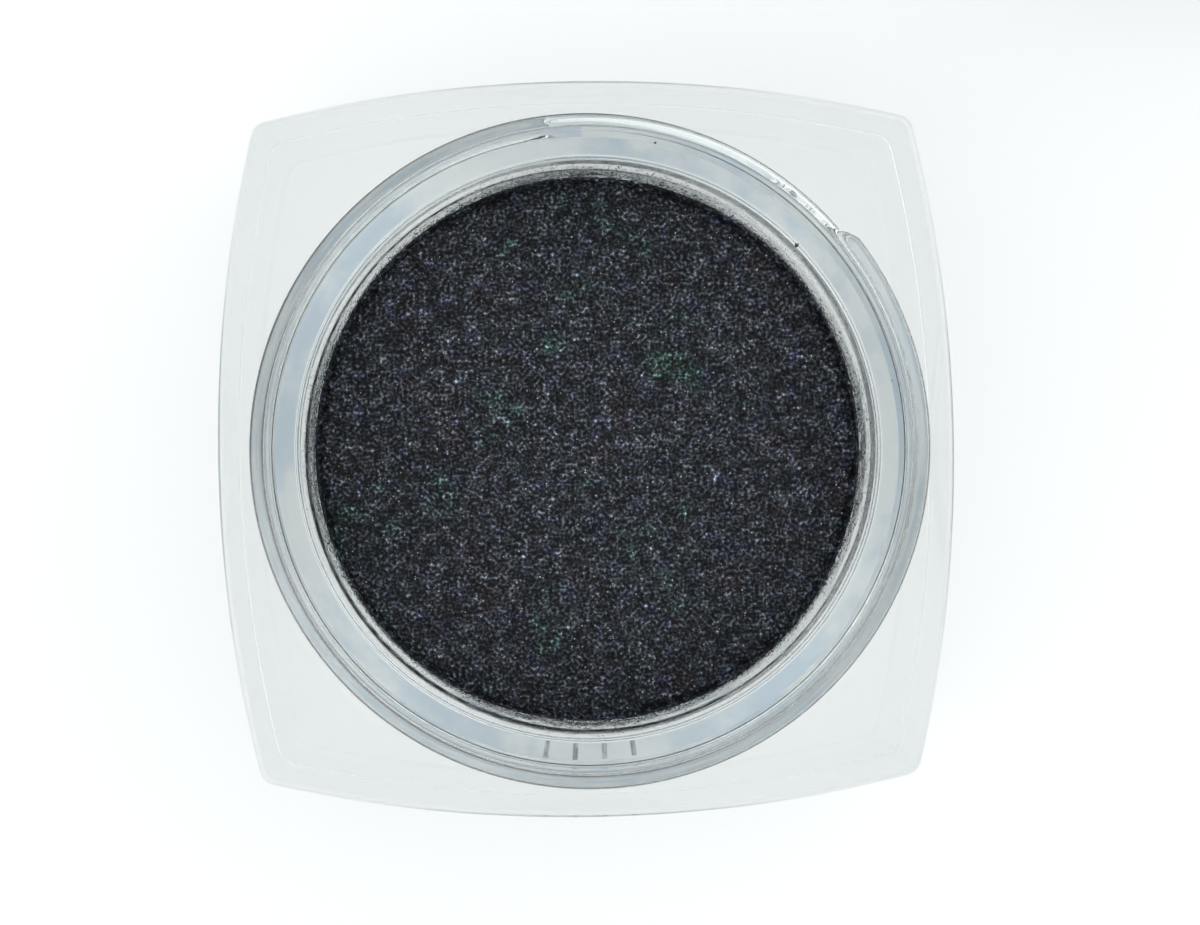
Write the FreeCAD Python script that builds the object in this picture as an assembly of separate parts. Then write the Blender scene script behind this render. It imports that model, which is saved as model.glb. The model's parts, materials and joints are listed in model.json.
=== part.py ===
import FreeCAD, Part

# Single-shade eyeshadow pot with its screw cap off.
#
# Millimetres. The origin is the centre of the jar's underside and +Z is up. The jar's four bulging
# sides face +X, -X, +Y and -Y. The cap lies upside down on the same table, beside the jar along
# the CAP_REST_X, CAP_REST_Y diagonal, with the clear stopper disc in its mouth. Every cap piece is
# drawn where it sits when the pot is closed, and is then unscrewed and turned over to its place.

import math
import os

from FreeCAD import Vector

# Jar body: a square block with bulging sides
BODY_WIDTH = 38.0  # across the middles of two opposite sides
SIDE_BULGE = 2.05  # how far each side swells past its corners
CORNER_RADIUS = 1.0
BODY_HEIGHT = 12.5
BODY_EDGE_RADIUS = 0.35
BODY_FOOT_RADIUS = 0.05

# Neck and its outside thread
NECK_RADIUS = 15.6
NECK_HEIGHT = 8.2
NECK_EDGE_RADIUS = 0.35
NECK_OVERLAP = 1.0  # how far down inside the block the neck starts
THREAD_LEAD = 3.0
THREAD_CREST_RADIUS = 16.6
THREAD_ROOT_HALF = 0.78  # half the ridge's height at its root, just inside the wall
THREAD_CREST_HALF = 0.3
THREAD_ROOT_OVERLAP = 0.3  # how deep a ridge's root lies in the wall that carries it
THREAD_BOTTOM_Z = 13.9  # centre of the ridge at its lower end
THREAD_BOTTOM_ANGLE = 95.0  # degrees from +X, seen from above
THREAD_TURNS = 669.0 / 360.0  # so that its upper end is at 44 degrees

# Well for the powder
WELL_MOUTH_RADIUS = 13.85
WELL_FLOOR_RADIUS = 13.5
WELL_DEPTH = 9.2
WELL_FLOOR_FILLET = 0.6
WELL_LIP_RADIUS = 0.28

# Powder
POWDER_BELOW_RIM = 5.2
POWDER_WALL_GAP = 0.05
POWDER_EDGE_CHAMFER = 0.3

# Sticker, flush in a shallow recess of the underside
LABEL_RADIUS = 17.0
LABEL_THICKNESS = 0.12
LABEL_EDGE_GAP = 0.1

# Stopper disc: a flange on the rim and a shallow plug below it
DISC_FLANGE_RADIUS = 15.4
DISC_FLANGE_THICKNESS = 0.8
DISC_PLUG_RADIUS = 13.1
DISC_PLUG_FOOT_RADIUS = 12.6
DISC_PLUG_DEPTH = 2.4
DISC_WALL = 0.8

# Cap: foam wad, threaded insert and outer shell
SEAT_GAP = 0.05  # between stacked cap pieces
LINER_RADIUS = 16.3
LINER_THICKNESS = 1.0
INSERT_OUTER_RADIUS = 17.55
INSERT_BORE_RADIUS = 16.9
INSERT_TOP_THICKNESS = 0.8
INSERT_SKIRT_ABOVE_SHELL = 0.3
INSERT_THREAD_CREST_RADIUS = 15.9
INSERT_THREAD_ROOT_HALF = 0.72
INSERT_THREAD_START_Z = 14.2
INSERT_THREAD_TURNS = 1.5
SNAP_BEAD_Z = 20.6
SNAP_BEAD_HEIGHT = 0.15
SHELL_RADIUS = 18.6
SHELL_WALL = 1.0
SHELL_TOP_THICKNESS = 1.5
SHELL_TOP_EDGE_RADIUS = 1.2
SHELL_FOOT_EDGE_RADIUS = 0.3
SHELL_ABOVE_SHOULDER = 0.6

# Where the cap lies, and how far it is unscrewed
CAP_REST_X = 39.0
CAP_REST_Y = 45.5
CAP_TURNS = 2.75

# Worked out from the above
RIM_Z = BODY_HEIGHT + NECK_HEIGHT
WELL_FLOOR_Z = RIM_Z - WELL_DEPTH
POWDER_TOP_Z = RIM_Z - POWDER_BELOW_RIM
LINER_Z = RIM_Z + DISC_FLANGE_THICKNESS + SEAT_GAP
INSERT_TOP_Z = LINER_Z + LINER_THICKNESS + SEAT_GAP
SHELL_INNER_TOP_Z = INSERT_TOP_Z + INSERT_TOP_THICKNESS + SEAT_GAP
CAP_TOP_Z = SHELL_INNER_TOP_Z + SHELL_TOP_THICKNESS
SHELL_FOOT_Z = BODY_HEIGHT + SHELL_ABOVE_SHOULDER
CAP_TRAVEL = CAP_TURNS * THREAD_LEAD
FLIP_HEIGHT = (CAP_TOP_Z + CAP_TRAVEL) / 2
CAP_DISTANCE = math.hypot(CAP_REST_X, CAP_REST_Y)

ORIGIN = Vector(0, 0, 0)
UP = Vector(0, 0, 1)
FLIP_CENTRE = Vector(CAP_REST_X / 2, CAP_REST_Y / 2, FLIP_HEIGHT)
FLIP_AXIS = Vector(CAP_REST_Y / CAP_DISTANCE, -CAP_REST_X / CAP_DISTANCE, 0)


def revolve(outline):
    """Solid of revolution about +Z from (radius, height) points; radius zero is the axis."""
    points = [Vector(radius, 0, height) for radius, height in outline]
    face = Part.Face(Part.makePolygon(points + points[:1]))
    return face.revolve(ORIGIN, UP, 360)


def circles_at(solid, radius, height):
    """The solid's round edges of one radius at one height."""
    tolerance = 1e-4
    return [
        edge for edge in solid.Edges
        if isinstance(edge.Curve, Part.Circle)
        and abs(edge.Curve.Radius - radius) < tolerance
        and abs(edge.Curve.Center.z - height) < tolerance
    ]


def edges_at(solid, height):
    """The solid's edges that lie level at one height."""
    tolerance = 1e-4
    return [
        edge for edge in solid.Edges
        if abs(edge.BoundBox.ZMax - height) < tolerance
        and abs(edge.BoundBox.ZMin - height) < tolerance
    ]


def thread_ridge(base_radius, crest_radius, root_half, crest_half, turns, start_z, start_angle):
    """Helical ridge of the shared lead, right-handed, from its lower end upwards."""
    helix = Part.makeHelix(THREAD_LEAD, turns * THREAD_LEAD, base_radius)
    corners = [
        Vector(base_radius, 0, -root_half),
        Vector(crest_radius, 0, -crest_half),
        Vector(crest_radius, 0, crest_half),
        Vector(base_radius, 0, root_half),
    ]
    section = Part.makePolygon(corners + corners[:1])
    ridge = Part.Wire(helix.Edges).makePipeShell([section], True, True)
    ridge.rotate(ORIGIN, UP, start_angle)
    ridge.translate(UP * start_z)
    return ridge


def bulging_square():
    """Face outline of the jar body: four shallow arcs between sharp corners."""
    crown = BODY_WIDTH / 2
    corner = crown - SIDE_BULGE
    side = Part.Arc(Vector(corner, -corner, 0), Vector(crown, 0, 0), Vector(corner, corner, 0)).toShape()
    sides = []
    for quarter in range(4):
        turned = side.copy()
        turned.rotate(ORIGIN, UP, 90 * quarter)
        sides.append(turned)
    return Part.Face(Part.Wire(sides))


def make_body_block():
    block = bulging_square().extrude(UP * BODY_HEIGHT)
    uprights = [
        edge for edge in block.Edges
        if abs(edge.Vertexes[0].X - edge.Vertexes[-1].X) < 1e-6
        and abs(edge.Vertexes[0].Z - edge.Vertexes[-1].Z) > 1
    ]
    block = block.makeFillet(CORNER_RADIUS, uprights)
    block = block.makeFillet(BODY_FOOT_RADIUS, edges_at(block, 0))
    return block.makeFillet(BODY_EDGE_RADIUS, edges_at(block, BODY_HEIGHT))


def make_jar():
    """Body block, neck and thread, less the well and the sticker's recess."""
    neck = Part.makeCylinder(
        NECK_RADIUS, NECK_HEIGHT + NECK_OVERLAP, Vector(0, 0, BODY_HEIGHT - NECK_OVERLAP)
    )
    neck = neck.makeFillet(NECK_EDGE_RADIUS, circles_at(neck, NECK_RADIUS, RIM_Z))
    ridge = thread_ridge(
        NECK_RADIUS - THREAD_ROOT_OVERLAP, THREAD_CREST_RADIUS, THREAD_ROOT_HALF, THREAD_CREST_HALF,
        THREAD_TURNS, THREAD_BOTTOM_Z, THREAD_BOTTOM_ANGLE,
    )
    well = revolve([
        (0, WELL_FLOOR_Z), (WELL_FLOOR_RADIUS, WELL_FLOOR_Z), (WELL_MOUTH_RADIUS, RIM_Z), (0, RIM_Z),
    ])
    well = well.makeFillet(WELL_FLOOR_FILLET, circles_at(well, WELL_FLOOR_RADIUS, WELL_FLOOR_Z))
    recess = Part.makeCylinder(LABEL_RADIUS + LABEL_EDGE_GAP, LABEL_THICKNESS)
    jar = make_body_block().fuse(neck).cut(well).cut(recess)
    jar = jar.makeFillet(WELL_LIP_RADIUS, circles_at(jar, WELL_MOUTH_RADIUS, RIM_Z))
    return jar.fuse(ridge)


def make_powder():
    """Pressed powder: fills the well's lower part, with a worn top edge."""
    draft = (WELL_MOUTH_RADIUS - WELL_FLOOR_RADIUS) / WELL_DEPTH
    top_radius = WELL_FLOOR_RADIUS + draft * (POWDER_TOP_Z - WELL_FLOOR_Z) - POWDER_WALL_GAP
    foot_radius = WELL_FLOOR_RADIUS - POWDER_WALL_GAP
    foot_rise = WELL_FLOOR_FILLET
    return revolve([
        (0, WELL_FLOOR_Z),
        (foot_radius - foot_rise, WELL_FLOOR_Z),
        (foot_radius, WELL_FLOOR_Z + foot_rise),
        (top_radius, POWDER_TOP_Z - POWDER_EDGE_CHAMFER),
        (top_radius - POWDER_EDGE_CHAMFER, POWDER_TOP_Z),
        (0, POWDER_TOP_Z),
    ])


def make_label():
    return Part.makeCylinder(LABEL_RADIUS, LABEL_THICKNESS)


def make_press_disc():
    """Flange on the rim, with a thin-walled dish hanging into the well's mouth."""
    flange_top = RIM_Z + DISC_FLANGE_THICKNESS
    dish_floor = RIM_Z - DISC_PLUG_DEPTH
    return revolve([
        (0, dish_floor),
        (DISC_PLUG_FOOT_RADIUS, dish_floor),
        (DISC_PLUG_RADIUS, RIM_Z),
        (DISC_FLANGE_RADIUS, RIM_Z),
        (DISC_FLANGE_RADIUS, flange_top),
        (DISC_PLUG_RADIUS - DISC_WALL, flange_top),
        (DISC_PLUG_FOOT_RADIUS - DISC_WALL, dish_floor + DISC_WALL),
        (0, dish_floor + DISC_WALL),
    ])


def make_liner():
    return Part.makeCylinder(LINER_RADIUS, LINER_THICKNESS, Vector(0, 0, LINER_Z))


def snap_bead_points(radius):
    """Three outline points of the low ring that locks the insert into the shell."""
    return [
        (radius, SNAP_BEAD_Z - 2 * SNAP_BEAD_HEIGHT),
        (radius + SNAP_BEAD_HEIGHT, SNAP_BEAD_Z),
        (radius, SNAP_BEAD_Z + 2 * SNAP_BEAD_HEIGHT),
    ]


def make_insert():
    """Threaded inner cap; its ridge runs half a lead away from the neck's ridge."""
    foot = SHELL_FOOT_Z + INSERT_SKIRT_ABOVE_SHELL
    top = INSERT_TOP_Z + INSERT_TOP_THICKNESS
    cup = revolve([
        (INSERT_BORE_RADIUS, foot),
        (INSERT_OUTER_RADIUS, foot),
        *snap_bead_points(INSERT_OUTER_RADIUS),
        (INSERT_OUTER_RADIUS, top),
        (0, top),
        (0, INSERT_TOP_Z),
        (INSERT_BORE_RADIUS, INSERT_TOP_Z),
    ])
    rise_to_mesh = INSERT_THREAD_START_Z - (THREAD_BOTTOM_Z + THREAD_LEAD / 2)
    start_angle = THREAD_BOTTOM_ANGLE + 360 * rise_to_mesh / THREAD_LEAD
    ridge = thread_ridge(
        INSERT_BORE_RADIUS + THREAD_ROOT_OVERLAP, INSERT_THREAD_CREST_RADIUS, INSERT_THREAD_ROOT_HALF,
        THREAD_CREST_HALF, INSERT_THREAD_TURNS, INSERT_THREAD_START_Z, start_angle,
    )
    return cup.fuse(ridge)


def make_shell():
    """Outer cap: a plain round cup with a rounded top edge and an eased foot."""
    bore = SHELL_RADIUS - SHELL_WALL
    shell = revolve([
        (bore, SHELL_FOOT_Z),
        (SHELL_RADIUS, SHELL_FOOT_Z),
        (SHELL_RADIUS, CAP_TOP_Z),
        (0, CAP_TOP_Z),
        (0, SHELL_INNER_TOP_Z),
        (bore, SHELL_INNER_TOP_Z),
        *reversed(snap_bead_points(bore)),
    ])
    shell = shell.makeFillet(SHELL_TOP_EDGE_RADIUS, circles_at(shell, SHELL_RADIUS, CAP_TOP_Z))
    return shell.makeFillet(SHELL_FOOT_EDGE_RADIUS, circles_at(shell, SHELL_RADIUS, SHELL_FOOT_Z))


def unscrewed(shape):
    """The shape raised off the closed pot along the thread."""
    shape.rotate(ORIGIN, UP, 360 * CAP_TURNS)
    shape.translate(UP * CAP_TRAVEL)
    return shape


def turned_over(shape):
    """The shape turned over from above the jar to its place on the table."""
    shape.rotate(FLIP_CENTRE, FLIP_AXIS, -180)
    return shape


def main():
    pieces = {
        "jar_body": make_jar(),
        "powder_cake": make_powder(),
        "base_label": make_label(),
        "press_disc": turned_over(make_press_disc()),
        "cap_liner": turned_over(unscrewed(make_liner())),
        "cap_insert": turned_over(unscrewed(make_insert())),
        "cap_shell": turned_over(unscrewed(make_shell())),
    }
    os.makedirs("parts", exist_ok=True)
    for name, shape in pieces.items():
        shape.exportStep(f"parts/{name}.step")
        box = shape.BoundBox
        print(
            f"{name}: valid {shape.isValid()}, solids {len(shape.Solids)}, {shape.Volume:.1f} mm3, "
            f"x {box.XMin:.2f}..{box.XMax:.2f}, y {box.YMin:.2f}..{box.YMax:.2f}, "
            f"z {box.ZMin:.2f}..{box.ZMax:.2f}"
        )


main()
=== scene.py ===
import json
import math

import bmesh
import bpy
import numpy as np
from mathutils import Matrix, Vector, noise


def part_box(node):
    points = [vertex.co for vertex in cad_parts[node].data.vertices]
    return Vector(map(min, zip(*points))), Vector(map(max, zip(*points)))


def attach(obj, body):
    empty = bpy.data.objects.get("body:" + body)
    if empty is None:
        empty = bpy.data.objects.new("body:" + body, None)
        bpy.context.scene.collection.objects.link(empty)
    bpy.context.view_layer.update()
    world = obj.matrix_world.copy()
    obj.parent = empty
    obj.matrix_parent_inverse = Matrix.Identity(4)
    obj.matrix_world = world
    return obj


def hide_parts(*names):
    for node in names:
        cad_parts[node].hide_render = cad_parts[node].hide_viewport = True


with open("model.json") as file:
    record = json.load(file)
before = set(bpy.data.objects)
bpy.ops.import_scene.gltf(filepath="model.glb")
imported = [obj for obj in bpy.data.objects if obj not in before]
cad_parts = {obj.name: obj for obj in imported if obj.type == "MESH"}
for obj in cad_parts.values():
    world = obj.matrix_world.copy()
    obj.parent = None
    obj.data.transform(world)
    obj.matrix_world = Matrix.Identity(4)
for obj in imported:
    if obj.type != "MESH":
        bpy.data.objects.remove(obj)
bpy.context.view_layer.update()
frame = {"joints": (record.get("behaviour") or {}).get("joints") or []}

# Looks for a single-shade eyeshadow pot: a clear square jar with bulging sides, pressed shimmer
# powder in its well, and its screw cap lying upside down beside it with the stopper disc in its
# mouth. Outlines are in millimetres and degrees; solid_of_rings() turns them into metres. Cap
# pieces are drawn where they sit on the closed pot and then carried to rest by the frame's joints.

MM = 0.001

# Sizes read from the frame
jar_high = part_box("jar_body")[1] / MM
powder_low, powder_high = (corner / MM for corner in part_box("powder_cake"))
label_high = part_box("base_label")[1] / MM
liner_low, liner_high = (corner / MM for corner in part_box("cap_liner"))
shell_low, shell_high = (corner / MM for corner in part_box("cap_shell"))
BODY_WIDTH = 2 * jar_high.x
RIM_Z = jar_high.z
POWDER_FLOOR_Z = powder_low.z
POWDER_TOP_Z = powder_high.z
LABEL_RADIUS = label_high.x
LABEL_THICKNESS = label_high.z
LINER_RADIUS = (liner_high.x - liner_low.x) / 2
LINER_THICKNESS = liner_high.z - liner_low.z
SHELL_RADIUS = (shell_high.x - shell_low.x) / 2
SHELL_HEIGHT = shell_high.z - shell_low.z

# Sizes that boxes don't tell, as in the CAD model except where said
SIDE_BULGE = 2.05
CORNER_RADIUS = 1.0
BODY_HEIGHT = 12.5
BODY_EDGE_RADIUS = 0.35
NECK_RADIUS = 15.6
NECK_EDGE_RADIUS = 0.35
NECK_FOOT_RADIUS = 0.3  # not in the CAD model
THREAD_LEAD = 3.0
THREAD_CREST_HALF = 0.3
THREAD_FADE = 7.0  # degrees over which a ridge rises and dies away at its ends; not in the CAD model
NECK_THREAD = {
    "bottom_z": 13.9,
    "bottom_angle": 95.0,
    "turns": 669 / 360,
    "reach": 1.0,
    "root_half": 0.78,
}
CAP_THREAD = {
    "bottom_z": 14.2,
    "bottom_angle": -49.0,
    "turns": 1.5,
    "reach": -1.0,
    "root_half": 0.72,
}
WELL_MOUTH_RADIUS = 13.85
WELL_FLOOR_RADIUS = 13.5
WELL_LIP_RADIUS = 0.28
WELL_FLOOR_FILLET = 0.6
SEAT_GAP = 0.05
DISC_FLANGE_RADIUS = 15.4
DISC_THICKNESS = 0.8
DISC_PLUG_RADIUS = 13.1
DISC_PLUG_FOOT_RADIUS = 12.6
DISC_PLUG_DEPTH = 2.4
DISC_SEAT_GAP = 0.02  # not in the CAD model; keeps flange and rim out of one plane
INSERT_OUTER_RADIUS = 17.55
INSERT_BORE_RADIUS = 16.9
INSERT_TOP_THICKNESS = 0.8
INSERT_SKIRT_ABOVE_SHELL = 0.3
SNAP_BEAD_Z = 20.6
SNAP_BEAD_HEIGHT = 0.15
SHELL_WALL = 1.0
SHELL_TOP_THICKNESS = 1.5
SHELL_TOP_EDGE_RADIUS = 1.2
SHELL_FOOT_EDGE_RADIUS = 0.3

# The body's foot edge is crisper than the CAD model's 0.05, so that the bright line it throws is fainter
BODY_FOOT_RADIUS = 0.02

TABLE_HALF_SIDE = 1500.0
TABLE_BELOW_POT = 0.01
GLOW_FADE_START = 45.0
GLOW_FADE_END = 170.0
WALL_GAP = 0.02  # round the powder; the CAD model has 0.05 at the wall and none at the floor
POWDER_SINK = 0.03  # how far the uneven top's mean level lies below the CAD model's top
POWDER_EDGE_DROP = 0.3
WORN_EDGE_START = 0.55  # in from the wall
WORN_EDGE_WIDTH = 0.4
STICKER_MARGIN = 0.1  # between the sticker's edge and its recess
STICKER_GAP = 0.01  # between the sticker's top and its recess; not in the CAD model
STREAK_RADIUS = 15.0  # where a streak's length is measured along the circle

JAR_TINT = (0.975, 1.0, 0.995)
DUST_SPECKS = 8000
# Loose crumbs of powder: turn in degrees, radius, height, size
CRUMBS = (
    (43.6, 13.95, RIM_Z - 0.02, 0.3),
    (77.0, 15.0, RIM_Z + 0.04, 0.12),
    (12.0, 14.9, RIM_Z + 0.04, 0.09),
)

# Heights of the stacked cap pieces on the closed pot
LINER_Z = RIM_Z + DISC_THICKNESS + SEAT_GAP
INSERT_TOP_Z = LINER_Z + LINER_THICKNESS + SEAT_GAP
SHELL_INNER_TOP_Z = INSERT_TOP_Z + INSERT_TOP_THICKNESS + SEAT_GAP
CAP_TOP_Z = SHELL_INNER_TOP_Z + SHELL_TOP_THICKNESS
SHELL_FOOT_Z = CAP_TOP_Z - SHELL_HEIGHT

# Camera: place and aim in millimetres, roll in degrees
CAMERA_PLACE = (-1.26, -0.14, 130.0)
CAMERA_TARGET = (0.66, -0.69, 12.5)
CAMERA_ROLL = 0.78
CAMERA_LENS = 68.5

# The light tent is a sum of smooth steps. Each has a direction; as the cosine of the angle to that
# direction goes from the first number to the second, the step's strength goes from the third to the
# fourth.
RAMP_SOCKETS = ("From Min", "From Max", "To Min", "To Max")
TENT_LIGHTS = (
    ((0, 0, 1), 0.0, 0.7, 0.66, 1.14),
    ((-0.5, -0.85, 0.1), -0.9, 0.9, -0.1, 0.2),
    ((-0.8, -0.35, 0.45), 0.86, 0.95, 0.0, 0.9),
    ((0.75, 0.3, 0.5), 0.88, 0.95, 0.0, 0.8),
    ((0.7, 0.7, 0.8), 0.76, 0.97, 0.0, 0.9),
    ((-0.7, -0.7, 0.8), 0.76, 0.97, 0.0, 0.9),
)


# ---------------------------------------------------------------- rings and meshes

EVEN_ANGLES = np.arange(0, 360.5, 1.5)
FINE_ANGLES = np.arange(0, 360.5, 1.0)


def jar_angles():
    """Every degree, and closer together across the body's four corners."""
    angles = set(range(361))
    for corner in (45, 135, 225, 315):
        for step in range(1, 13):
            angles.update((corner - 0.25 * step, corner + 0.25 * step))
    return np.array(sorted(angles), float)


def circle_ring(angles, radius, height):
    """Ring of points; radius and height may each be one number or one for each angle."""
    turn = np.radians(angles)
    radii = np.broadcast_to(radius, turn.shape)
    heights = np.broadcast_to(height, turn.shape)
    return np.stack([radii * np.cos(turn), radii * np.sin(turn), heights], 1)


def square_ring(angles, inset, height):
    """Ring on the jar's outline of four shallow arcs and rounded corners, moved in by inset."""
    crown = BODY_WIDTH / 2
    half = crown - SIDE_BULGE
    side_radius = (half**2 + SIDE_BULGE**2) / (2 * SIDE_BULGE)
    side_middle = crown - side_radius
    turn = np.radians((angles + 45) % 90 - 45)
    to_side = side_middle * np.cos(turn) + np.sqrt(
        (side_radius - inset) ** 2 - (side_middle * np.sin(turn)) ** 2
    )
    reach = side_radius - CORNER_RADIUS
    corner_middle = (
        math.sqrt(2) * side_middle + math.sqrt(4 * reach**2 - 2 * side_middle**2)
    ) / 2
    off_diagonal = math.pi / 4 - np.abs(turn)
    span = (CORNER_RADIUS - inset) ** 2 - (corner_middle * np.sin(off_diagonal)) ** 2
    to_corner = corner_middle * np.cos(off_diagonal) + np.sqrt(np.maximum(span, 0))
    middle_xy = corner_middle / math.sqrt(2)
    toward_corner = Vector((middle_xy - side_middle, middle_xy)).normalized()
    meeting = Vector((side_middle, 0)) + toward_corner * (side_radius - inset)
    past_meeting = np.abs(turn) > math.atan2(meeting.y, meeting.x)
    return circle_ring(angles, np.where(past_meeting, to_corner, to_side), height)


def edge_rings(angles, ring, edge_radius, height, upward):
    """Quarter-round edge between a flat face at height and the outline's wall."""
    rings = []
    for turn in np.linspace(0, math.pi / 2, 7):
        inset = edge_radius * (1 - math.sin(turn))
        rise = edge_radius * (1 - math.cos(turn))
        rings.append(ring(angles, inset, height + rise if upward else height - rise))
    return rings if upward else rings[::-1]


def rounded_outline(corners, steps=7):
    """Outline points as (radius, height); each corner is (radius, height, rounding)."""
    points = []
    for i, (radius, height, rounding) in enumerate(corners):
        here = Vector((radius, height))
        if rounding == 0:
            points.append(here)
            continue
        back = (Vector(corners[i - 1][:2]) - here).normalized()
        ahead = (Vector(corners[i + 1][:2]) - here).normalized()
        half = back.angle(ahead) / 2
        middle = here + (back + ahead).normalized() * rounding / math.sin(half)
        start = here + back * rounding / math.tan(half) - middle
        end = here + ahead * rounding / math.tan(half) - middle
        sweep = math.pi - 2 * half
        for step in range(steps + 1):
            t = step / steps
            arm = math.sin((1 - t) * sweep) * start + math.sin(t * sweep) * end
            points.append(middle + arm / math.sin(sweep))
    return points


def turned_rings(angles, corners):
    return [circle_ring(angles, max(r, 0.02), z) for r, z in rounded_outline(corners)]


def thread_stand(angles, heights, thread):
    """How far a thread's ridge stands out of its wall; the ridge fades over its last degrees."""
    stand = np.zeros(len(angles))
    root, crest = thread["root_half"], THREAD_CREST_HALF
    for lap in range(-1, 3):
        along = (angles - thread["bottom_angle"]) % 360 + 360 * lap
        off = np.abs(heights - thread["bottom_z"] - THREAD_LEAD * along / 360)
        flank = np.clip((root - off) / (root - crest), 0, 1)
        end = np.clip(np.minimum(along, 360 * thread["turns"] - along) / THREAD_FADE, 0, 1)
        ridge = flank**2 * (3 - 2 * flank) * end**2 * (3 - 2 * end)
        stand = np.maximum(stand, ridge)
    return thread["reach"] * stand


def threaded_rings(angles, wall_radius, low, high, thread):
    """Rings that climb with the thread between two level ones, so that rows follow the ridge."""
    root, crest = thread["root_half"], THREAD_CREST_HALF
    # Distances of rows from the ridge's middle, close together on its flank and wider apart past its root
    flank = np.linspace(crest, root, 8)
    one_side = np.concatenate([[0.15, crest - 0.05], flank, [root + 0.06, root + 0.2, root + 0.45]])
    steps = np.concatenate([-one_side[::-1], [0], one_side])
    phase = thread["bottom_z"] - THREAD_LEAD * thread["bottom_angle"] / 360 - low
    laps = math.ceil((high - low) / THREAD_LEAD) + 1
    offsets = sorted((phase + s) % THREAD_LEAD + THREAD_LEAD * lap for s in steps for lap in range(laps))
    rings = []
    for offset in [0.0, *offsets, THREAD_LEAD * laps]:
        heights = np.clip(low - THREAD_LEAD + offset + THREAD_LEAD * angles / 360, low, high)
        stand = thread_stand(angles, heights, thread)
        rings.append(circle_ring(angles, wall_radius + stand, heights))
    return rings


def solid_of_rings(name, rings, place=None, sharp=35):
    """Closed mesh through rings of points, with its first and last ring fanned to a middle.
    Rings run from 0 to 360 degrees, and points that meet are merged."""
    count = len(rings[0])
    middles = [rings[0][:-1].mean(0), rings[-1][:-1].mean(0)]
    vertices = np.concatenate([*rings, middles]) * MM
    first_middle = len(rings) * count
    last_row = first_middle - count
    faces = []
    for k in range(count - 1):
        for row in range(0, last_row, count):
            faces.append((row + k, row + k + 1, row + count + k + 1, row + count + k))
        faces.append((first_middle, k + 1, k))
        faces.append((first_middle + 1, last_row + k, last_row + k + 1))
    mesh = bpy.data.meshes.new(name)
    mesh.from_pydata(vertices.tolist(), [], faces)
    if place is not None:
        mesh.transform(place)
    work = bmesh.new()
    work.from_mesh(mesh)
    bmesh.ops.remove_doubles(work, verts=work.verts, dist=0.0002 * MM)
    bmesh.ops.dissolve_degenerate(work, edges=work.edges, dist=0.0001 * MM)
    bmesh.ops.recalc_face_normals(work, faces=work.faces)
    work.to_mesh(mesh)
    work.free()
    mesh.shade_smooth()
    mesh.set_sharp_from_angle(angle=math.radians(sharp))
    piece = bpy.data.objects.new(name, mesh)
    bpy.context.scene.collection.objects.link(piece)
    return piece


def joint_motion(name, value):
    """Matrix of one of the frame's joints at a value in radians or metres."""
    joint = next(j for j in frame["joints"] if j["name"] == name)
    axis = Vector(joint["axis"]).normalized()
    if joint["type"] == "slide":
        return Matrix.Translation(axis * value)
    pivot = Vector(joint["pos_m"])
    return Matrix.Translation(pivot) @ Matrix.Rotation(value, 4, axis) @ Matrix.Translation(-pivot)


def limit(name):
    joint = next(j for j in frame["joints"] if j["name"] == name)
    return joint["range_m"][1] if joint["type"] == "slide" else math.radians(joint["range_deg"][1])


CLOSED_DISC = joint_motion("lid_flip", limit("lid_flip"))
CLOSED_LINER = CLOSED_DISC @ joint_motion("lid_feed", limit("lid_feed"))
CLOSED_CAP = CLOSED_LINER @ joint_motion("lid_turn", limit("lid_turn"))


def finish_piece(piece, node, body, material):
    piece.data.materials.append(material)
    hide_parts(node)
    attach(piece, body)


# ---------------------------------------------------------------- materials


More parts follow.
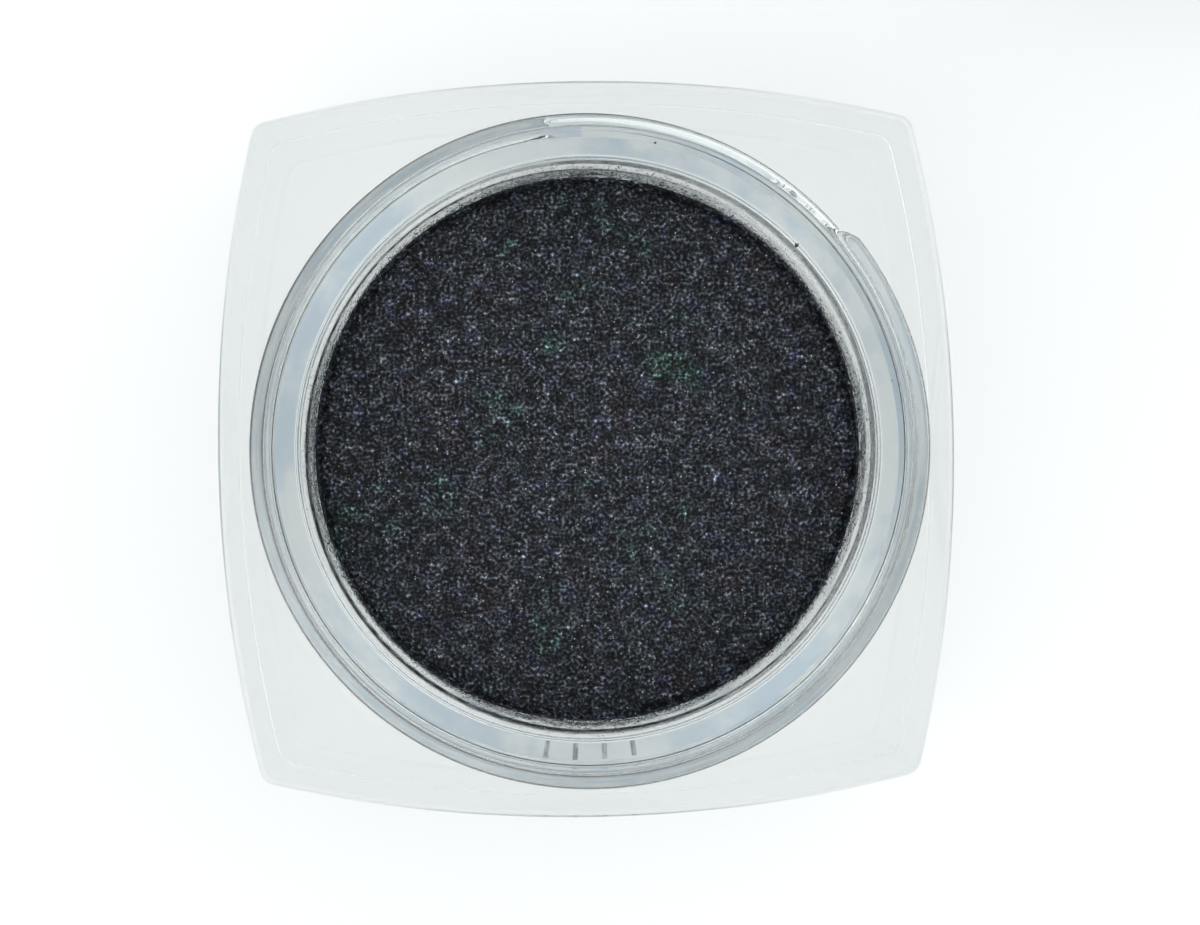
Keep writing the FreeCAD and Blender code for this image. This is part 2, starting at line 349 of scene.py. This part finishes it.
class Surface:
    """A material with short ways to add and join nodes; sizes are in metres."""

    def __init__(self, name, **constants):
        self.material = bpy.data.materials.new(name)
        self.material.use_nodes = True
        self.nodes = self.material.node_tree.nodes
        self.shader = self.nodes["Principled BSDF"]
        for socket, value in constants.items():
            self.shader.inputs[socket.replace("_", " ")].default_value = value
        self.place = self.nodes.new("ShaderNodeTexCoord").outputs["Object"]

    def join(self, source, target):
        self.material.node_tree.links.new(source, target)

    def feed(self, node, inputs):
        for socket, value in inputs.items():
            target = node.inputs[socket]
            if isinstance(value, bpy.types.NodeSocket):
                self.join(value, target)
            else:
                target.default_value = value
        return node

    def noise(self, size, detail=2.0, roughness=0.5, place=None):
        node = self.feed(self.nodes.new("ShaderNodeTexNoise"), {
            "Vector": place or self.place,
            "Scale": 1 / size,
            "Detail": detail,
            "Roughness": roughness,
        })
        return node.outputs["Fac"]

    def cells(self, size):
        """Distance to the nearest cell's middle and that cell's own random colour."""
        node = self.feed(self.nodes.new("ShaderNodeTexVoronoi"), {"Vector": self.place, "Scale": 1 / size})
        return node.outputs["Distance"], node.outputs["Color"]

    def ramp(self, value, low, high, to_low=0.0, to_high=1.0):
        node = self.nodes.new("ShaderNodeMapRange")
        node.interpolation_type = "SMOOTHSTEP"
        self.feed(node, {"Value": value, "From Min": low, "From Max": high,
                         "To Min": to_low, "To Max": to_high})
        return node.outputs["Result"]

    def math(self, operation, first, second=0.0, third=0.0):
        node = self.nodes.new("ShaderNodeMath")
        node.operation = operation
        self.feed(node, {0: first, 1: second, 2: third})
        return node.outputs["Value"]

    def scaled(self, colour, amount):
        node = self.nodes.new("ShaderNodeVectorMath")
        node.operation = "SCALE"
        self.feed(node, {"Vector": colour, "Scale": amount})
        return node.outputs["Vector"]

    def length(self, x, y):
        squares = self.math("ADD", self.math("MULTIPLY", x, x), self.math("MULTIPLY", y, y))
        return self.math("SQRT", squares)

    def polar(self, radius, angle, squeeze):
        """Place measured along and across circles round Z, squeezed along them, for round streaks."""
        node = self.feed(self.nodes.new("ShaderNodeCombineXYZ"), {
            0: self.math("MULTIPLY", angle, squeeze * STREAK_RADIUS * MM), 1: radius,
        })
        return node.outputs["Vector"]

    def mix(self, share, first, second):
        node = self.nodes.new("ShaderNodeMix")
        node.data_type = "RGBA"
        for socket, value in ((0, share), (6, first), (7, second)):
            self.feed(node, {socket: value})
        return node.outputs[2]

    def split(self, vector):
        node = self.feed(self.nodes.new("ShaderNodeSeparateXYZ"), {0: vector})
        return node.outputs

    def bump(self, height, depth, strength=1.0):
        node = self.feed(self.nodes.new("ShaderNodeBump"), {
            "Height": height, "Distance": depth, "Strength": strength,
        })
        self.join(node.outputs["Normal"], self.shader.inputs["Normal"])

    def colour(self, source):
        self.join(source, self.shader.inputs["Base Color"])

    def roughness(self, source):
        self.join(source, self.shader.inputs["Roughness"])


def clear_surface(name, tint, roughness):
    """Start of a clear moulded plastic, with faint flow waviness and small rougher patches."""
    look = Surface(name, Base_Color=(*tint, 1), Transmission_Weight=1.0, IOR=1.49)
    marks = look.noise(0.35 * MM, 3.0)
    look.roughness(look.ramp(marks, 0.55, 0.8, roughness, roughness + 0.05))
    look.bump(look.noise(4 * MM, 2.0), 0.02 * MM, 0.25)
    return look


def clear_disc_plastic():
    return clear_surface("clear_disc_plastic", (0.97, 0.985, 0.99), 0.03).material


def clear_jar_plastic():
    """The jar's plastic, with a thin film of powder on the well's wall that hazes and darkens it; the
    darkening is partly that film and partly painted shade.
    The film and its painted shade are heaviest low down and toward the middles of the jar's four sides."""
    look = clear_surface("clear_jar_plastic", JAR_TINT, 0.0)
    x, y, z = look.split(look.place)
    radius = look.length(x, y)
    near_wall = look.ramp(radius, (WELL_MOUTH_RADIUS + 0.25) * MM, WELL_MOUTH_RADIUS * MM)
    above_floor = look.math("GREATER_THAN", z, POWDER_FLOOR_Z * MM)
    in_well = look.math("MULTIPLY", near_wall, above_floor)
    cloud = look.ramp(look.noise(0.8 * MM, 3.0), 0.3, 0.7)
    clean = look.shader.inputs["Roughness"].links[0].from_socket
    haze = look.math("MULTIPLY_ADD", cloud, 0.18, 0.10)
    look.roughness(look.math("MULTIPLY_ADD", in_well, haze, clean))
    # Painted shade: the film's dark colour, heavier low down near the powder and toward the middles of the
    # four sides, also stands in for shade on the well's wall.
    across = look.math("SUBTRACT", look.math("MULTIPLY", x, x), look.math("MULTIPLY", y, y))
    double_turn_cosine = look.math("DIVIDE", across, look.math("MULTIPLY", radius, radius))
    toward_side = look.math("POWER", look.math("ABSOLUTE", double_turn_cosine), 3.0)
    thick = look.math("MULTIPLY_ADD", toward_side, 0.75, 0.2)
    low = look.ramp(z, RIM_Z * MM, POWDER_TOP_Z * MM, 0.25, 1.0)
    patchy = look.math("MULTIPLY_ADD", cloud, 0.6, 0.55)
    film_and_painted_shade = look.math("MULTIPLY", look.math("MULTIPLY", thick, low), look.math("MULTIPLY", in_well, patchy))
    look.colour(look.mix(film_and_painted_shade, (*JAR_TINT, 1), (0.045, 0.05, 0.042, 1)))
    return look.material


def shimmer_powder():
    """Charcoal powder: fine grain, blue, green and brown drifts, and pale mica specks whose bright colour
    is partly painted glint.
    """
    look = Surface("shimmer_powder", Specular_IOR_Level=0.1, Roughness=0.6)
    grain = look.math("MULTIPLY_ADD", look.noise(0.17 * MM, 1.0), 9.5, -4.75)
    clump = look.math("MULTIPLY_ADD", look.noise(0.6 * MM, 3.0), 5.0, -2.72)
    shade = look.math("EXPONENT", look.math("ADD", grain, clump))
    blue = look.ramp(look.noise(1.1 * MM, 3.0), 0.48, 0.72)
    cool = look.mix(blue, (0.0162, 0.0186, 0.0225, 1), (0.015, 0.0172, 0.0275, 1))
    drift = look.noise(2.4 * MM, 3.0)
    cool = look.mix(look.ramp(drift, 0.57, 0.72, 0.0, 0.7), cool, (0.013, 0.026, 0.0225, 1))
    cool = look.mix(look.ramp(drift, 0.44, 0.30, 0.0, 0.6), cool, (0.0215, 0.0182, 0.0208, 1))
    # Partly painted glint: mica is pale, and the specks' bright colour of random strength also stands in
    # for the glints that mica throws.
    distance, cell = look.cells(0.13 * MM)
    pick = look.split(cell)
    chosen = look.math("GREATER_THAN", pick[0], 0.90)
    dot = look.math("MULTIPLY", look.ramp(distance, 0.42, 0.12), chosen)
    mica_fleck_and_painted_glint = look.math("MULTIPLY", dot, look.math("POWER", pick[1], 3.0))
    mica = look.mix(0.2, (0.30, 0.32, 0.34, 1), cell)
    look.colour(look.mix(mica_fleck_and_painted_glint, look.scaled(cool, shade), mica))
    look.bump(grain, 0.03 * MM, 0.5)
    return look.material


def sticker_film():
    """Pale film sticker with plain dark tick marks along part of its margin, and blue-grey streaks in its
    colour that are painted shade.
    """
    look = Surface("sticker_film", Roughness=0.45)
    x, y, _ = look.split(look.place)
    radius = look.length(x, y)
    angle = look.math("ARCTAN2", x, look.math("MULTIPLY", y, -1.0))
    spacing = math.radians(5.5)
    phase = look.math("PINGPONG", angle, spacing / 2)
    bar = look.ramp(phase, spacing * 0.39, spacing * 0.44)
    near = look.math("LESS_THAN", look.math("ABSOLUTE", angle), 2 * spacing)
    inner = look.math("GREATER_THAN", radius, (LABEL_RADIUS - 1.4) * MM)
    outer = look.math("LESS_THAN", radius, (LABEL_RADIUS - 0.4) * MM)
    ring = look.math("MULTIPLY", inner, outer)
    tick = look.math("MULTIPLY", look.math("MULTIPLY", bar, near), ring)
    # Painted shade: the blue-grey streaks darken the sticker's colour where shade falls beneath the powder
    # and the jar's neck.
    streak = look.noise(2.2 * MM, 4.0, 0.6, look.polar(radius, angle, 0.35))
    film_and_painted_shade = look.mix(look.ramp(streak, 0.38, 0.6), (0.66, 0.77, 0.87, 1), (0.95, 0.98, 0.99, 1))
    worn = look.math("MULTIPLY", tick, look.ramp(look.noise(0.25 * MM), 0.3, 0.6, 0.35, 0.8))
    look.colour(look.mix(worn, film_and_painted_shade, (0.10, 0.11, 0.15, 1)))
    look.bump(look.noise(0.2 * MM), 0.004 * MM, 0.5)
    return look.material


def gloss_black():
    """Polished black plastic with hairline scratches and a trace of dust."""
    look = Surface("gloss_black_plastic", IOR=1.46)
    dust = look.ramp(look.noise(0.12 * MM, 1.0), 0.70, 0.80)
    look.colour(look.mix(dust, (0.006, 0.006, 0.007, 1), (0.05, 0.05, 0.052, 1)))
    x, y, z = look.split(look.place)
    drawn_out = look.feed(look.nodes.new("ShaderNodeCombineXYZ"), {
        0: look.math("MULTIPLY", x, 0.12), 1: y, 2: look.math("MULTIPLY", z, 1.6),
    })
    hair = look.noise(0.16 * MM, 4.0, 0.7, drawn_out.outputs[0])
    look.roughness(look.ramp(hair, 0.52, 0.75, 0.04, 0.22))
    look.bump(hair, 0.006 * MM, 0.25)
    return look.material


def satin_black():
    """Moulded black inner cap with a fine spark-eroded grain."""
    look = Surface("satin_black_plastic", IOR=1.49)
    grain = look.noise(0.14 * MM, 3.0)
    look.colour(look.mix(grain, (0.010, 0.010, 0.011, 1), (0.022, 0.022, 0.024, 1)))
    look.roughness(look.ramp(grain, 0.3, 0.7, 0.32, 0.5))
    look.bump(grain, 0.02 * MM, 0.5)
    return look.material


def foam():
    """Off-white closed-cell foam."""
    look = Surface("wad_foam", Roughness=0.85, Specular_IOR_Level=0.25)
    distance, _ = look.cells(0.28 * MM)
    pore = look.ramp(distance, 0.15, 0.6)
    look.colour(look.mix(pore, (0.80, 0.79, 0.77, 1), (0.94, 0.93, 0.91, 1)))
    look.bump(pore, 0.05 * MM, 0.6)
    return look.material


def light_table():
    """White diffusing table top, lit from below and dimmer away from the pot."""
    look = Surface("light_table", Roughness=0.6, Specular_IOR_Level=0.1, Emission_Color=(0.97, 1.0, 1.0, 1))
    x, y, _ = look.split(look.place)
    glow = look.ramp(look.length(x, y), GLOW_FADE_START * MM, GLOW_FADE_END * MM, 0.64, 0.3)
    look.join(glow, look.shader.inputs["Emission Strength"])
    look.colour(look.mix(look.noise(30 * MM), (0.26, 0.27, 0.27, 1), (0.28, 0.28, 0.28, 1)))
    return look.material


# ---------------------------------------------------------------- jar, powder and sticker


def well_radius(height):
    share = (height - POWDER_FLOOR_Z) / (RIM_Z - POWDER_FLOOR_Z)
    return WELL_FLOOR_RADIUS + share * (WELL_MOUTH_RADIUS - WELL_FLOOR_RADIUS)


def make_jar():
    angles = jar_angles()
    recess = LABEL_RADIUS + STICKER_MARGIN
    foot_top = BODY_HEIGHT + NECK_FOOT_RADIUS
    neck_top = RIM_Z - NECK_EDGE_RADIUS
    rings = [circle_ring(angles, r, LABEL_THICKNESS) for r in (0.5, recess)]
    rings += [circle_ring(angles, r, 0) for r in (recess, recess + 0.1)]
    rings.append(square_ring(angles, BODY_FOOT_RADIUS + 0.05, 0))
    rings += edge_rings(angles, square_ring, BODY_FOOT_RADIUS, 0, True)
    rings += [square_ring(angles, 0, BODY_HEIGHT * share) for share in (0.1, 0.3, 0.5, 0.7, 0.9)]
    rings += edge_rings(angles, square_ring, BODY_EDGE_RADIUS, BODY_HEIGHT, False)
    rings.append(square_ring(angles, BODY_EDGE_RADIUS + 0.05, BODY_HEIGHT))
    rings += turned_rings(angles, [
        (NECK_RADIUS + NECK_FOOT_RADIUS + 0.1, BODY_HEIGHT, 0),
        (NECK_RADIUS, BODY_HEIGHT, NECK_FOOT_RADIUS),
        (NECK_RADIUS, foot_top + 0.01, 0),
    ])
    rings += threaded_rings(angles, NECK_RADIUS, foot_top + 0.02, neck_top - 0.02, NECK_THREAD)
    rings += turned_rings(angles, [
        (NECK_RADIUS, neck_top - 0.01, 0),
        (NECK_RADIUS, RIM_Z, NECK_EDGE_RADIUS * 0.99),
        (WELL_MOUTH_RADIUS, RIM_Z, WELL_LIP_RADIUS),
        (WELL_FLOOR_RADIUS, POWDER_FLOOR_Z, WELL_FLOOR_FILLET),
        (0.5, POWDER_FLOOR_Z, 0),
    ])
    jar = solid_of_rings("clear_jar", rings)
    finish_piece(jar, "jar_body", "pot", clear_jar_plastic())


def make_powder():
    """Pressed powder: slightly uneven top, worn rounded edge and dust that clings up the wall."""
    rim = well_radius(POWDER_TOP_Z) - WALL_GAP
    angles = FINE_ANGLES
    rings = turned_rings(angles, [
        (1.0, POWDER_FLOOR_Z + WALL_GAP, 0),
        (WELL_FLOOR_RADIUS - WALL_GAP, POWDER_FLOOR_Z + WALL_GAP, WELL_FLOOR_FILLET),
        (rim, POWDER_TOP_Z - 0.8, 0),
    ])
    cling = []
    for angle in np.radians(angles):
        spot = Vector((math.cos(angle), math.sin(angle), 0))
        cling.append(0.12 * noise.noise(spot * 3) + 0.08 * noise.noise(spot * 14))
    climb = POWDER_TOP_Z + np.maximum(cling, 0)
    edge_z = POWDER_TOP_Z - POWDER_EDGE_DROP
    rings.append(circle_ring(angles, rim, edge_z))
    rings.append(circle_ring(angles, well_radius(climb) - WALL_GAP, climb))
    rings.append(circle_ring(angles, well_radius(climb) - 0.07, climb - 0.03))
    rings.append(circle_ring(angles, rim - 0.08, edge_z - 0.02))
    for radius in np.arange(rim - 0.15, 0.3, -0.2):
        worn = np.clip((radius - rim + WORN_EDGE_START) / WORN_EDGE_WIDTH, 0, 1)
        height = []
        for angle in np.radians(angles):
            spot = Vector((radius * math.cos(angle), radius * math.sin(angle), 0))
            height.append(0.02 * noise.noise(spot * 0.4) + 0.012 * noise.noise(spot * 2.2))
        lift = np.array(height) - POWDER_SINK - POWDER_EDGE_DROP * worn**2
        rings.append(circle_ring(angles, radius, POWDER_TOP_Z + lift))
    powder = solid_of_rings("powder_fill", rings, sharp=180)
    finish_piece(powder, "powder_cake", "pot", shimmer_powder())


def make_dust_and_painted_shade():
    """Powder specks on the well's wall, thick just above the powder, and a few crumbs on the rim. The
    specks are dust and also painted shade: they climb higher toward the middles of the four sides and
    toward +Y, where the wall lies in shade.
    Each speck is a small crooked pyramid on the wall, pointing inward; a crumb points both ways."""
    dice = np.random.default_rng(11)
    turns = dice.uniform(0, 2 * math.pi, DUST_SPECKS)
    # Painted shade: the specks climb higher toward the middles of the four sides and toward +Y, so their
    # dark powder stands in for shade on the wall as well as for dust.
    climb = 0.4 + 1.8 * np.cos(2 * turns) ** 4 + 1.2 * np.maximum(np.sin(turns), 0) ** 6
    heights = POWDER_TOP_Z - 0.1 + dice.exponential(1, DUST_SPECKS) * climb
    highest = POWDER_TOP_Z + dice.uniform(0, RIM_Z - 0.5 - POWDER_TOP_Z, DUST_SPECKS)
    heights = np.minimum(heights, highest)
    sizes = dice.uniform(0.05, 0.15, DUST_SPECKS)
    flatness = np.full(DUST_SPECKS, 0.5)
    specks = np.stack([turns, well_radius(heights), heights, sizes, flatness], 1).tolist()
    specks += [(math.radians(turn), radius, z, size, 1.0) for turn, radius, z, size in CRUMBS]
    vertices, faces = [], []
    for turn, radius, height, size, flat in specks:
        outward = Vector((math.cos(turn), math.sin(turn), 0))
        sideways = Vector((-outward.y, outward.x, 0))
        middle = outward * radius + Vector((0, 0, height))
        first = len(vertices)
        spin = dice.uniform(0, 2 * math.pi)
        for corner in range(4):
            lean = spin + corner * math.pi / 2
            arm = math.cos(lean) * sideways + Vector((0, 0, math.sin(lean)))
            vertices.append(middle + arm * size * dice.uniform(0.35, 0.6))
        vertices.append(middle - outward * size * flat * dice.uniform(0.4, 0.6))
        vertices.append(middle + outward * size * max(flat - 0.5, 0.01))
        for corner in range(4):
            here, ahead = first + corner, first + (corner + 1) % 4
            faces += [(here, ahead, first + 4), (ahead, here, first + 5)]
    mesh = bpy.data.meshes.new("powder_dust_and_painted_shade")
    mesh.from_pydata([v * MM for v in vertices], [], faces)
    mesh.materials.append(bpy.data.materials["shimmer_powder"])
    dust = bpy.data.objects.new("powder_dust_and_painted_shade", mesh)
    bpy.context.scene.collection.objects.link(dust)
    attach(dust, "pot")


def make_label():
    top = LABEL_THICKNESS - STICKER_GAP
    rings = turned_rings(EVEN_ANGLES, [
        (0, 0, 0), (LABEL_RADIUS, 0, 0.02), (LABEL_RADIUS, top, 0.02), (0, top, 0),
    ])
    label = solid_of_rings("underside_sticker", rings)
    finish_piece(label, "base_label", "pot", sticker_film())


# ---------------------------------------------------------------- stopper and cap


def make_stopper():
    plug_foot = RIM_Z - DISC_PLUG_DEPTH
    seat = RIM_Z + DISC_SEAT_GAP
    flange_top = RIM_Z + DISC_THICKNESS
    inner = DISC_PLUG_RADIUS - DISC_THICKNESS
    inner_foot = DISC_PLUG_FOOT_RADIUS - DISC_THICKNESS
    rings = turned_rings(EVEN_ANGLES, [
        (0, plug_foot, 0),
        (DISC_PLUG_FOOT_RADIUS, plug_foot, 0.35),
        (DISC_PLUG_RADIUS, seat, 0.15),
        (DISC_FLANGE_RADIUS, seat, 0.2),
        (DISC_FLANGE_RADIUS, flange_top, 0.2),
        (inner, flange_top, 0.25),
        (inner_foot, plug_foot + DISC_THICKNESS, 0.3),
        (0, plug_foot + DISC_THICKNESS, 0),
    ])
    disc = solid_of_rings("stopper_disc", rings, CLOSED_DISC.inverted())
    finish_piece(disc, "press_disc", "stopper", clear_disc_plastic())


def make_liner():
    rings = turned_rings(EVEN_ANGLES, [
        (0, LINER_Z, 0),
        (LINER_RADIUS, LINER_Z, 0.25),
        (LINER_RADIUS, LINER_Z + LINER_THICKNESS, 0.1),
        (0, LINER_Z + LINER_THICKNESS, 0),
    ])
    liner = solid_of_rings("foam_wad", rings, CLOSED_LINER.inverted())
    finish_piece(liner, "cap_liner", "wad", foam())


def snap_bead(radius):
    """Outline corners of the low ring that locks the insert into the shell, from its top down."""
    return [
        (radius, SNAP_BEAD_Z + 2 * SNAP_BEAD_HEIGHT, 0),
        (radius + SNAP_BEAD_HEIGHT, SNAP_BEAD_Z, 0),
        (radius, SNAP_BEAD_Z - 2 * SNAP_BEAD_HEIGHT, 0),
    ]


def make_insert():
    foot = SHELL_FOOT_Z + INSERT_SKIRT_ABOVE_SHELL
    top = INSERT_TOP_Z + INSERT_TOP_THICKNESS
    angles = FINE_ANGLES
    rings = turned_rings(angles, [
        (0, top, 0),
        (INSERT_OUTER_RADIUS, top, 0.25),
        *snap_bead(INSERT_OUTER_RADIUS),
        (INSERT_OUTER_RADIUS, foot, 0.15),
        (INSERT_BORE_RADIUS, foot, 0.15),
        (INSERT_BORE_RADIUS, foot + 0.16, 0),
    ])
    rings += threaded_rings(angles, INSERT_BORE_RADIUS, foot + 0.17, INSERT_TOP_Z - 0.3, CAP_THREAD)
    rings += turned_rings(angles, [
        (INSERT_BORE_RADIUS, INSERT_TOP_Z - 0.29, 0),
        (INSERT_BORE_RADIUS, INSERT_TOP_Z, 0.2),
        (0, INSERT_TOP_Z, 0),
    ])
    insert = solid_of_rings("threaded_insert", rings, CLOSED_CAP.inverted())
    finish_piece(insert, "cap_insert", "cap", satin_black())


def make_shell():
    bore = SHELL_RADIUS - SHELL_WALL
    rings = turned_rings(FINE_ANGLES, [
        (0, SHELL_INNER_TOP_Z, 0),
        (bore, SHELL_INNER_TOP_Z, 0.2),
        *snap_bead(bore),
        (bore, SHELL_FOOT_Z, 0.2),
        (SHELL_RADIUS, SHELL_FOOT_Z, SHELL_FOOT_EDGE_RADIUS),
        (SHELL_RADIUS, CAP_TOP_Z, SHELL_TOP_EDGE_RADIUS),
        (0, CAP_TOP_Z, 0),
    ])
    shell = solid_of_rings("gloss_cap_shell", rings, CLOSED_CAP.inverted())
    finish_piece(shell, "cap_shell", "cap", gloss_black())


# ---------------------------------------------------------------- stage, light and camera


def make_floor():
    half = TABLE_HALF_SIDE * MM
    corners = [(-half, -half, 0), (half, -half, 0), (half, half, 0), (-half, half, 0)]
    mesh = bpy.data.meshes.new("floor")
    mesh.from_pydata(corners, [], [(0, 1, 2, 3)])
    mesh.materials.append(light_table())
    floor = bpy.data.objects.new("floor", mesh)
    floor.location.z = -TABLE_BELOW_POT * MM
    bpy.context.scene.collection.objects.link(floor)


def make_light():
    """Light tent: greyer at the horizon, brighter toward the near left, with two soft panels and a
    broad glow over each end of one diagonal."""
    world = bpy.data.worlds.new("light_tent")
    world.use_nodes = True
    bpy.context.scene.world = world
    nodes, links = world.node_tree.nodes, world.node_tree.links
    direction = nodes.new("ShaderNodeTexCoord").outputs["Generated"]
    strength = None
    for toward, low, high, to_low, to_high in TENT_LIGHTS:
        dot = nodes.new("ShaderNodeVectorMath")
        dot.operation = "DOT_PRODUCT"
        dot.inputs[1].default_value = Vector(toward).normalized()
        links.new(direction, dot.inputs[0])
        ramp = nodes.new("ShaderNodeMapRange")
        ramp.interpolation_type = "SMOOTHSTEP"
        for socket, value in zip(RAMP_SOCKETS, (low, high, to_low, to_high)):
            ramp.inputs[socket].default_value = value
        links.new(dot.outputs["Value"], ramp.inputs["Value"])
        if strength is None:
            strength = ramp.outputs["Result"]
            continue
        add = nodes.new("ShaderNodeMath")
        add.operation = "ADD"
        links.new(strength, add.inputs[0])
        links.new(ramp.outputs["Result"], add.inputs[1])
        strength = add.outputs["Value"]
    links.new(strength, nodes["Background"].inputs["Strength"])
    nodes["Background"].inputs["Color"].default_value = (0.985, 0.995, 1.0, 1)


def set_picture():
    """Plain view transform, and enough light bounces for thick clear plastic."""
    scene = bpy.context.scene
    scene.view_settings.view_transform = "Standard"
    scene.cycles.max_bounces = 24
    scene.cycles.glossy_bounces = 16
    scene.cycles.transmission_bounces = 20
    scene.cycles.diffuse_bounces = 6


def make_camera():
    lens = bpy.data.cameras.new("camera")
    lens.lens = CAMERA_LENS
    lens.sensor_width = 36.0
    lens.clip_start = 0.005
    camera = bpy.data.objects.new("camera", lens)
    place, target = Vector(CAMERA_PLACE) * MM, Vector(CAMERA_TARGET) * MM
    aim = (target - place).normalized()
    right = Matrix.Rotation(math.radians(CAMERA_ROLL), 3, aim) @ aim.cross(Vector((0, 1, 0))).normalized()
    turned = Matrix((right, right.cross(aim), -aim)).transposed()
    camera.matrix_world = Matrix.Translation(place) @ turned.to_4x4()
    bpy.context.scene.collection.objects.link(camera)
    bpy.context.scene.camera = camera


make_jar()
make_powder()
make_dust_and_painted_shade()
make_label()
make_stopper()
make_liner()
make_insert()
make_shell()
make_floor()
make_light()
set_picture()
make_camera()
